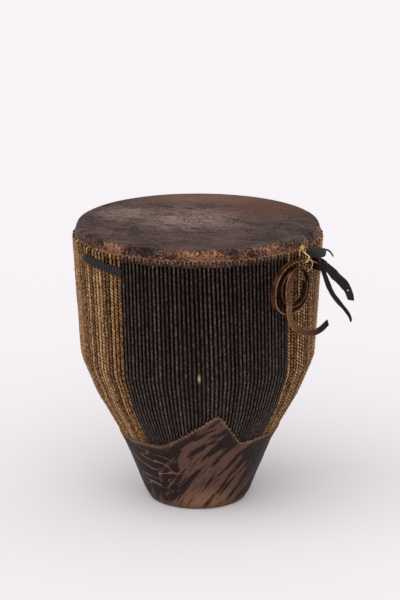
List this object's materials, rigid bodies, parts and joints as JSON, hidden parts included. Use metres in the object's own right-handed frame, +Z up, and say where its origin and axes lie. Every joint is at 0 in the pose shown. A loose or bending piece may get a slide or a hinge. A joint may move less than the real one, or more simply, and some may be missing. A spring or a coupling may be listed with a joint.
{
  "type": "laced hide drum",
  "caption": "Single-headed wooden bowl drum with a laced hide head, a hide-covered narrow foot, wound cord bindings and a coiled leather strap that swings on its lashing.",
  "frame": {"origin": "centre of the foot, on the plane the drum stands on", "axes": "+Z up along the drum's axis towards the playing head, -Y towards the viewer in the picture, +X to the right"},
  "size_m": [0.3455, 0.3088, 0.3555],
  "materials": {
    "wood": "carved, oiled",
    "head_hide": "worn rawhide",
    "base_hide": "hairy hide, mottled",
    "dark_thong": "dark rawhide",
    "natural_thong": "twisted rawhide",
    "black_cord": "matt",
    "strap_leather": "satin",
    "raffia": "matt"
  },
  "bodies": {
    "drum": {"wooden_shell": "wood", "playing_head": "head_hide", "base_hide": "base_hide", "lacing_dark_01": "dark_thong", "lacing_dark_02": "dark_thong", "lacing_dark_03": "dark_thong", "lacing_dark_04": "dark_thong", "lacing_dark_05": "dark_thong", "lacing_dark_06": "dark_thong", "lacing_natural_01": "natural_thong", "lacing_natural_02": "natural_thong", "lacing_natural_03": "natural_thong", "lacing_natural_04": "natural_thong", "lacing_natural_05": "natural_thong", "lacing_natural_06": "natural_thong", "lacing_natural_07": "natural_thong", "lacing_natural_08": "natural_thong", "lacing_natural_09": "natural_thong", "lacing_natural_10": "natural_thong", "lacing_natural_11": "natural_thong", "lacing_natural_12": "natural_thong", "lacing_natural_13": "natural_thong", "lacing_natural_14": "natural_thong", "lacing_natural_15": "natural_thong", "lacing_natural_16": "natural_thong", "collar_binding_left": "black_cord", "collar_binding_right": "black_cord", "band_cord_end": "black_cord", "raffia_tie": "raffia"},
    "strap": {"strap_coil": "strap_leather", "strap_knot": "strap_leather", "strap_tail_long": "strap_leather", "strap_tail_wide": "strap_leather", "strap_tail_narrow": "strap_leather", "raffia_end": "raffia"}
  },
  "joints": [
    {"name": "strap_swing", "type": "hinge", "parent": "drum", "child": "strap", "pos_m": [0.12794, -0.09881, 0.33193], "axis": [0.6691, -0.7431, 0], "range_deg": [-20, 20]}
  ]
}
